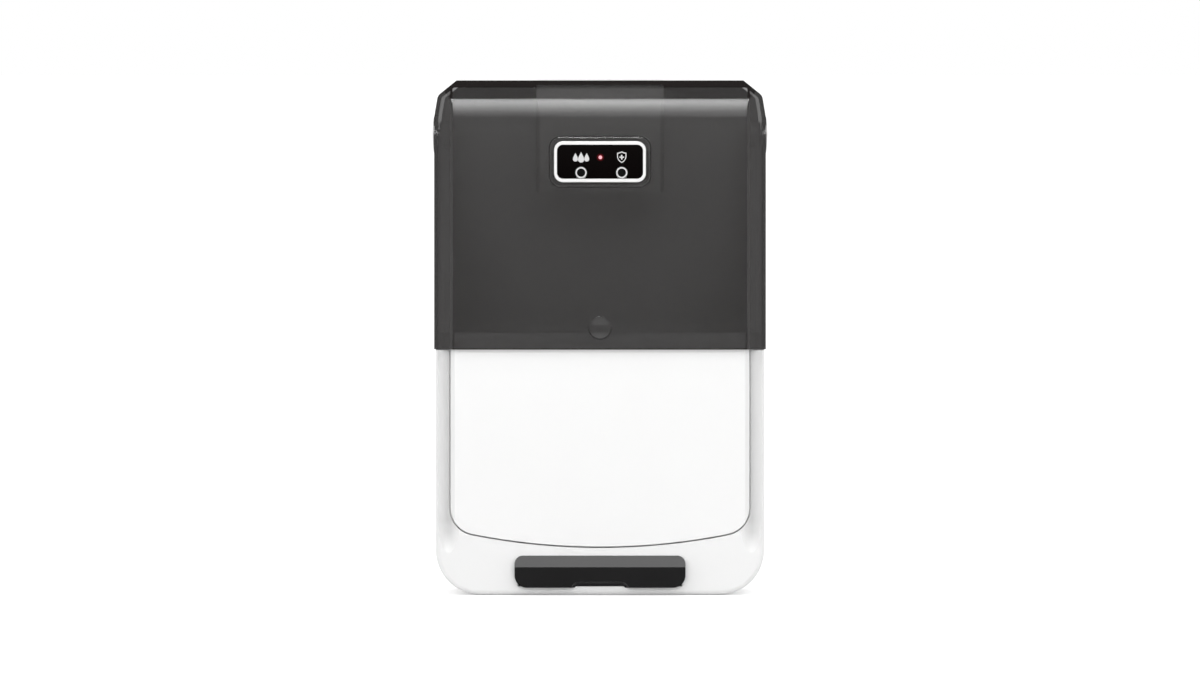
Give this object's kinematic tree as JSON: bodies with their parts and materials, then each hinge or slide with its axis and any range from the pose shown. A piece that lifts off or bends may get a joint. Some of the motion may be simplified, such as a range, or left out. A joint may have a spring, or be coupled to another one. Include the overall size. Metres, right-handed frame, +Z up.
{
  "type": "utensil sterilizer box",
  "caption": "Upright white box with a smoked flip lid over a lift-out utensil box, a control and drying module inside the lid, and a drip tray that slides out of the chin.",
  "frame": {"origin": "centre of the base, on the surface the box stands on", "axes": "+X to the right seen from the front, -Y out of the front, +Y towards the wall, +Z up"},
  "size_m": [0.2032, 0.125, 0.31],
  "materials": {
    "white_shell": "white ABS, satin gloss",
    "smoked_lid": "smoked clear polycarbonate, polished",
    "lid_cap": "smoked clear polycarbonate, polished",
    "module_white": "white ABS, fine texture",
    "ring_white": "white ABS, polished",
    "panel_black": "black acrylic, polished",
    "key_black": "black ABS with a pale printed ring",
    "lens": "red diffusing polycarbonate",
    "tray_grey": "dark grey ABS, satin",
    "steel": "zinc-plated steel",
    "pin_steel": "ground stainless steel",
    "bush_plastic": "natural acetal",
    "washer_spring": "spring steel",
    "board": "green solder mask on glass-epoxy board",
    "switch": "black switch bodies",
    "led": "ceramic lamp packages",
    "quartz": "clear quartz",
    "fan_black": "black PBT",
    "cell_wrap": "film-wrapped cell can",
    "holder": "black nylon",
    "port_steel": "nickel-plated steel",
    "divider": "white polypropylene",
    "drain": "white polypropylene",
    "guide_white": "white ABS, plain",
    "cover": "white ABS, fine texture"
  },
  "bodies": {
    "housing_body": {"housing": "white_shell", "hinge_bracket_right": "white_shell", "hinge_bracket_left": "white_shell", "hinge_cowl": "white_shell", "tray_guide": "guide_white", "rear_cover": "cover", "rear_cover_screws": "steel", "wall_bracket": "steel", "hinge_bush_right": "bush_plastic", "hinge_bush_left": "bush_plastic", "friction_washer_right": "washer_spring", "friction_washer_left": "washer_spring"},
    "lid_body": {"lid_shell": "smoked_lid", "hinge_pin_right": "pin_steel", "hinge_pin_left": "pin_steel", "pivot_cap_right": "lid_cap", "pivot_cap_left": "lid_cap", "module_housing": "module_white", "module_base": "module_white", "module_screws": "steel", "trim_ring": "ring_white", "control_panel": "panel_black", "indicator_lens": "lens", "main_board": "board", "key_switches": "switch", "fan_frame": "fan_black", "fan_screws": "steel", "uv_board": "board", "uv_leds": "led", "uv_window": "quartz", "battery_cell": "cell_wrap", "battery_holder": "holder", "charging_port": "port_steel"},
    "key_dry_body": {"key_dry": "key_black"},
    "key_sterilize_body": {"key_sterilize": "key_black"},
    "fan_body": {"fan_rotor": "fan_black"},
    "box_body": {"utensil_box": "white_shell", "divider_left": "divider", "divider_right": "divider", "drain_plate": "drain"},
    "tray_body": {"drip_tray": "tray_grey"}
  },
  "joints": [
    {"name": "lid_hinge", "type": "hinge", "parent": "housing_body", "child": "lid_body", "pos_m": [0, 0.0284, 0.2765], "axis": [-1, 0, 0], "range_deg": [0, 90]},
    {"name": "box_lift", "type": "slide", "parent": "housing_body", "child": "box_body", "axis": [0, 0, 1], "range_m": [0, 0.075]},
    {"name": "tray_slide", "type": "slide", "parent": "housing_body", "child": "tray_body", "axis": [0, -1, 0], "range_m": [0, 0.07]},
    {"name": "key_dry_press", "type": "slide", "parent": "lid_body", "child": "key_dry_body", "axis": [0, 1, 0], "range_m": [0, 0.0006], "stiffness_N_per_m": 1500},
    {"name": "key_sterilize_press", "type": "slide", "parent": "lid_body", "child": "key_sterilize_body", "axis": [0, 1, 0], "range_m": [0, 0.0006], "stiffness_N_per_m": 1500},
    {"name": "fan_spin", "type": "hinge", "parent": "lid_body", "child": "fan_body", "pos_m": [0.0148, -0.03205, 0.25], "axis": [0, 0, 1], "continuous": true}
  ]
}
